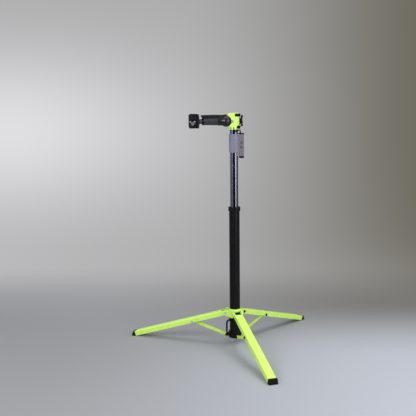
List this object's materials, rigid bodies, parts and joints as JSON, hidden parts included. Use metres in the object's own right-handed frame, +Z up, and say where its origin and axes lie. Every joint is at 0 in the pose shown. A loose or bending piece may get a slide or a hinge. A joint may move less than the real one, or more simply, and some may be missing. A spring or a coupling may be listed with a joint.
{
  "type": "bike repair stand",
  "caption": "Folding tripod repair stand for heavy bikes, with a motor-lifted mast and a clamp arm with cam lever and rubber-lined jaws.",
  "frame": {"origin": "middle of the footprint on the floor, under the stand", "axes": "+Z up; the clamp arm points along -X and the mast's slot faces -Y"},
  "size_m": [1.1659, 1.1889, 1.439],
  "materials": {
    "lime_paint": "satin powder coat",
    "black_metal": "satin black powder coat",
    "black_plastic": "moulded, satin",
    "mast_aluminium": "gray anodised, satin",
    "housing_gray": "gray satin",
    "bright_steel": "bright plated",
    "rubber": "matte",
    "red_anodised": "red anodised",
    "white_nylon": "natural nylon"
  },
  "bodies": {
    "column": {"outer_tube": "black_metal", "base_plug": "black_plastic", "lower_collar": "black_plastic", "stop_ring": "black_plastic", "carry_handle": "black_plastic", "upper_guide": "white_nylon", "tube_crown": "black_plastic", "lift_motor": "housing_gray", "actuator_tube": "housing_gray"},
    "hub": {"hub": "lime_paint", "hub_bush": "black_plastic", "hub_pin_left": "bright_steel", "hub_pin_front": "black_metal", "hub_pin_right": "black_metal"},
    "mast": {"inner_mast": "mast_aluminium", "mast_foot_guide": "white_nylon", "push_rod": "black_metal", "mast_plug": "black_plastic", "drive_housing": "housing_gray", "drive_top_cap": "black_plastic", "drive_low_cap": "black_plastic", "drive_cable": "rubber", "head": "lime_paint", "head_cross_bolt": "bright_steel", "head_front_screw": "bright_steel", "head_barrel": "black_metal"},
    "arm": {"arm_knuckle": "black_plastic", "arm_tube": "black_metal", "spindle": "bright_steel", "lever_pin": "bright_steel", "clamp_neck": "mast_aluminium", "arm_end_ring": "black_plastic", "rod_guide": "white_nylon", "fixed_jaw": "black_plastic", "fixed_jaw_pad": "rubber", "jaw_pin": "bright_steel"},
    "moving_jaw": {"moving_jaw": "black_plastic", "moving_jaw_pad": "rubber", "jaw_disc": "mast_aluminium", "jaw_screw_left": "bright_steel", "jaw_screw_right": "bright_steel"},
    "clamp_lever": {"clamp_lever": "black_plastic"},
    "pull_rod": {"pull_rod": "bright_steel"},
    "adjust_ring": {"adjust_ring": "red_anodised"},
    "hand_knob": {"hand_knob": "black_plastic"},
    "head_wing_nut": {"head_wing_nut": "black_plastic"},
    "up_button": {"up_button": "black_plastic"},
    "down_button": {"down_button": "black_plastic"},
    "strut_left": {"strut_left": "lime_paint"},
    "leg_left": {"leg_left": "lime_paint", "foot_left": "rubber", "strut_pin_left": "bright_steel"},
    "strut_front": {"strut_front": "lime_paint"},
    "leg_front": {"leg_front": "lime_paint", "foot_front": "rubber", "strut_pin_front": "black_metal"},
    "strut_right": {"strut_right": "lime_paint"},
    "leg_right": {"leg_right": "lime_paint", "foot_right": "rubber", "strut_pin_right": "black_metal"}
  },
  "joints": [
    {"name": "tripod_fold", "type": "hinge", "parent": "column", "child": "strut_front", "pos_m": [0.11195, 0.02015, 0.053], "axis": [-0.9558, -0.294, 0], "range_deg": [0, 71]},
    {"name": "strut_left_hinge", "type": "hinge", "parent": "column", "child": "strut_left", "pos_m": [0.04217, 0.085, 0.053], "axis": [0.2233, 0.9748, 0], "range_deg": [0, 71.5]},
    {"name": "strut_right_hinge", "type": "hinge", "parent": "column", "child": "strut_right", "pos_m": [0.13322, 0.11301, 0.053], "axis": [0.7325, -0.6807, 0], "range_deg": [0, 71.5]},
    {"name": "leg_left_hinge", "type": "hinge", "parent": "strut_left", "child": "leg_left", "pos_m": [-0.17229, 0.13412, 0.126], "axis": [0.2233, 0.9748, 0], "range_deg": [-143, 0]},
    {"name": "leg_front_hinge", "type": "hinge", "parent": "strut_front", "child": "leg_front", "pos_m": [0.17665, -0.19013, 0.126], "axis": [-0.9558, -0.294, 0], "range_deg": [-143, 0]},
    {"name": "leg_right_hinge", "type": "hinge", "parent": "strut_right", "child": "leg_right", "pos_m": [0.28299, 0.27418, 0.126], "axis": [0.7325, -0.6807, 0], "range_deg": [-143, 0]},
    {"name": "hub_hinge", "type": "hinge", "parent": "leg_front", "child": "hub", "pos_m": [0.11195, 0.02015, 0.199], "axis": [-0.9558, -0.294, 0], "range_deg": [0, 71.5]},
    {"name": "mast_lift", "type": "slide", "parent": "column", "child": "mast", "axis": [0, 0, 1], "range_m": [-0.29, 0.2]},
    {"name": "arm_roll", "type": "hinge", "parent": "mast", "child": "arm", "pos_m": [0.09578, 0.07272, 1.39], "axis": [1, 0, 0], "continuous": true},
    {"name": "hand_knob_turn", "type": "hinge", "parent": "mast", "child": "hand_knob", "pos_m": [0.12948, 0.07272, 1.39], "axis": [1, 0, 0], "continuous": true},
    {"name": "wing_nut_turn", "type": "hinge", "parent": "mast", "child": "head_wing_nut", "pos_m": [0.12558, 0.07272, 1.355], "axis": [0, 1, 0], "range_deg": [0, 45]},
    {"name": "up_button_press", "type": "slide", "parent": "mast", "child": "up_button", "axis": [0, 1, 0], "range_m": [0, 0.0015], "stiffness_N_per_m": 400, "springref_m": -0.0005},
    {"name": "down_button_press", "type": "slide", "parent": "mast", "child": "down_button", "axis": [0, 1, 0], "range_m": [0, 0.0015], "stiffness_N_per_m": 400, "springref_m": -0.0005},
    {"name": "clamp_lever_swing", "type": "hinge", "parent": "arm", "child": "clamp_lever", "pos_m": [0.04378, 0.07272, 1.4145], "axis": [0, 1, 0], "range_deg": [0, 90]},
    {"name": "pull_rod_slide", "type": "slide", "parent": "arm", "child": "pull_rod", "axis": [-1, 0, 0], "range_m": [0, 0.003]},
    {"name": "jaw_open", "type": "hinge", "parent": "arm", "child": "moving_jaw", "pos_m": [-0.12072, 0.05022, 1.39], "axis": [0, 0, 1], "range_deg": [0, 30]},
    {"name": "adjust_ring_turn", "type": "hinge", "parent": "arm", "child": "adjust_ring", "pos_m": [-0.09772, 0.07272, 1.39], "axis": [1, 0, 0], "continuous": true}
  ],
  "couplings": [
    {"joint": "strut_left_hinge", "follows": "tripod_fold", "ratio": 1},
    {"joint": "strut_right_hinge", "follows": "tripod_fold", "ratio": 1},
    {"joint": "leg_left_hinge", "follows": "tripod_fold", "ratio": -2},
    {"joint": "leg_front_hinge", "follows": "tripod_fold", "ratio": -2},
    {"joint": "leg_right_hinge", "follows": "tripod_fold", "ratio": -2},
    {"joint": "hub_hinge", "follows": "tripod_fold", "ratio": 1},
    {"joint": "pull_rod_slide", "follows": "clamp_lever_swing", "m_per_rad": 0.0019079},
    {"joint": "jaw_open", "follows": "clamp_lever_swing", "ratio": 0.333}
  ]
}
